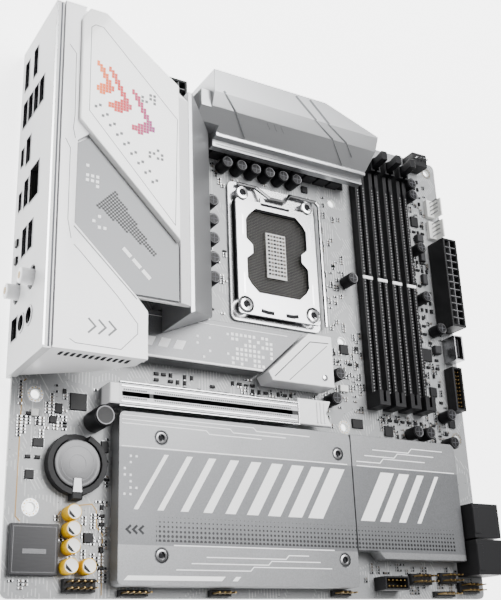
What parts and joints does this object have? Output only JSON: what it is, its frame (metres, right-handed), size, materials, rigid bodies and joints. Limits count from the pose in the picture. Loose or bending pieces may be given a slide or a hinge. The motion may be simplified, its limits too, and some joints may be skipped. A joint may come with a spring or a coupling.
{
  "type": "motherboard",
  "caption": "White and silver micro-ATX computer motherboard with socket, load lever, memory and expansion slots, heatsinks, covered rear port panel and board connectors.",
  "frame": {"origin": "centre of the bounding box in X and Y, at its lowest plane, which is the ends of the solder leads and the socket backplate", "axes": "+X from the rear port panel towards the drive connectors, +Y towards the board's top edge, +Z out of the component side"},
  "size_m": [0.2514, 0.2438, 0.0475],
  "materials": {
    "board_silver": "satin solder mask",
    "dark_steel": "black zinc",
    "socket_grey": "matte",
    "bright_steel": "bright",
    "slot_grey": "matte",
    "white_plastic": "satin",
    "silver_aluminium": "bead blasted",
    "black_plastic": "satin",
    "chip_black": "satin",
    "white_paint": "satin",
    "light_panel": "satin",
    "grey_plate": "satin",
    "shield_white": "satin",
    "port_metal": "plain",
    "button_black": "satin",
    "usb_c_shell": "plain",
    "battery_steel": "plain",
    "codec_grey": "satin",
    "capacitor_black": "satin",
    "latch_black": "satin"
  },
  "bodies": {
    "board_assembly": {"circuit_board": "board_silver", "socket_backplate": "dark_steel", "socket_body": "socket_grey", "ilm_frame": "bright_steel", "expansion_slot": "slot_grey", "expansion_slot_armour": "bright_steel", "storage_heatsink_upper": "silver_aluminium", "storage_connector_upper": "black_plastic", "storage_heatsink_lower": "silver_aluminium", "storage_connector_lower": "black_plastic", "chipset_heatsink": "silver_aluminium", "chipset": "chip_black", "power_heatsink_top": "silver_aluminium", "power_heatsink_left": "white_paint", "io_cover": "white_plastic", "io_light_panel": "light_panel", "io_grey_plate": "grey_plate", "io_shield": "shield_white", "display_ports": "port_metal", "usb_stack_upper": "port_metal", "usb_c_stack": "port_metal", "lan_stack": "port_metal", "usb_stack_lower": "port_metal", "audio_ports": "port_metal", "wireless_module": "white_plastic", "power_connector_24pin": "black_plastic", "processor_power_connector": "black_plastic", "front_usb_header": "black_plastic", "front_usb_c_header": "usb_c_shell", "panel_header": "black_plastic", "fan_header": "black_plastic", "front_audio_header": "black_plastic", "drive_connector_1": "black_plastic", "drive_connector_2": "black_plastic", "coin_battery": "battery_steel", "battery_holder": "black_plastic", "audio_codec_shield": "codec_grey", "filter_capacitor": "capacitor_black", "ilm_screw_1": "bright_steel", "heatsink_screw_1": "bright_steel", "memory_slot_1": "black_plastic", "ilm_screw_2": "bright_steel", "heatsink_screw_2": "bright_steel", "memory_slot_2": "black_plastic", "ilm_screw_3": "bright_steel", "heatsink_screw_3": "bright_steel", "memory_slot_3": "black_plastic", "ilm_screw_4": "bright_steel", "heatsink_screw_4": "bright_steel", "memory_slot_4": "black_plastic"},
    "load_lever": {"ilm_lever": "bright_steel"},
    "load_plate": {"ilm_load_plate": "bright_steel"},
    "slot_latch": {"expansion_latch": "white_plastic"},
    "drive_latch": {"storage_latch": "white_plastic"},
    "firmware_button": {"firmware_button": "button_black"},
    "reset_button": {"reset_button": "button_black"},
    "memory_latch_1": {"memory_latch_1": "latch_black"},
    "memory_latch_2": {"memory_latch_2": "latch_black"},
    "memory_latch_3": {"memory_latch_3": "latch_black"},
    "memory_latch_4": {"memory_latch_4": "latch_black"}
  },
  "joints": [
    {"name": "load_lever_hinge", "type": "hinge", "parent": "board_assembly", "child": "load_lever", "pos_m": [0.0092, 0.07638, 0.0071], "axis": [-1, 0, 0], "range_deg": [0, 130]},
    {"name": "load_plate_hinge", "type": "hinge", "parent": "board_assembly", "child": "load_plate", "pos_m": [0.0092, 0.07638, 0.0071], "axis": [-1, 0, 0], "range_deg": [0, 100]},
    {"name": "slot_latch_hinge", "type": "hinge", "parent": "board_assembly", "child": "slot_latch", "pos_m": [0.0155, -0.03872, 0.011], "axis": [0, 1, 0], "range_deg": [0, 10], "stiffness_Nm_per_rad": 0.3, "springref_deg": -1.72},
    {"name": "drive_latch_slide", "type": "slide", "parent": "board_assembly", "child": "drive_latch", "axis": [1, 0, 0], "range_m": [0, 0.003], "stiffness_N_per_m": 600, "springref_m": -0.001},
    {"name": "firmware_button_press", "type": "slide", "parent": "board_assembly", "child": "firmware_button", "axis": [1, 0, 0], "range_m": [0, 0.0008], "stiffness_N_per_m": 400, "springref_m": -0.0005},
    {"name": "reset_button_press", "type": "slide", "parent": "board_assembly", "child": "reset_button", "axis": [1, 0, 0], "range_m": [0, 0.0008], "stiffness_N_per_m": 400, "springref_m": -0.0005},
    {"name": "memory_latch_1_hinge", "type": "hinge", "parent": "board_assembly", "child": "memory_latch_1", "pos_m": [0.0642, 0.10768, 0.0087], "axis": [-1, 0, 0], "range_deg": [0, 30]},
    {"name": "memory_latch_2_hinge", "type": "hinge", "parent": "board_assembly", "child": "memory_latch_2", "pos_m": [0.074, 0.10768, 0.0087], "axis": [-1, 0, 0], "range_deg": [0, 30]},
    {"name": "memory_latch_3_hinge", "type": "hinge", "parent": "board_assembly", "child": "memory_latch_3", "pos_m": [0.0838, 0.10768, 0.0087], "axis": [-1, 0, 0], "range_deg": [0, 30]},
    {"name": "memory_latch_4_hinge", "type": "hinge", "parent": "board_assembly", "child": "memory_latch_4", "pos_m": [0.0936, 0.10768, 0.0087], "axis": [-1, 0, 0], "range_deg": [0, 30]}
  ],
  "couplings": [
    {"joint": "load_plate_hinge", "follows": "load_lever_hinge", "ratio": 0.769}
  ]
}
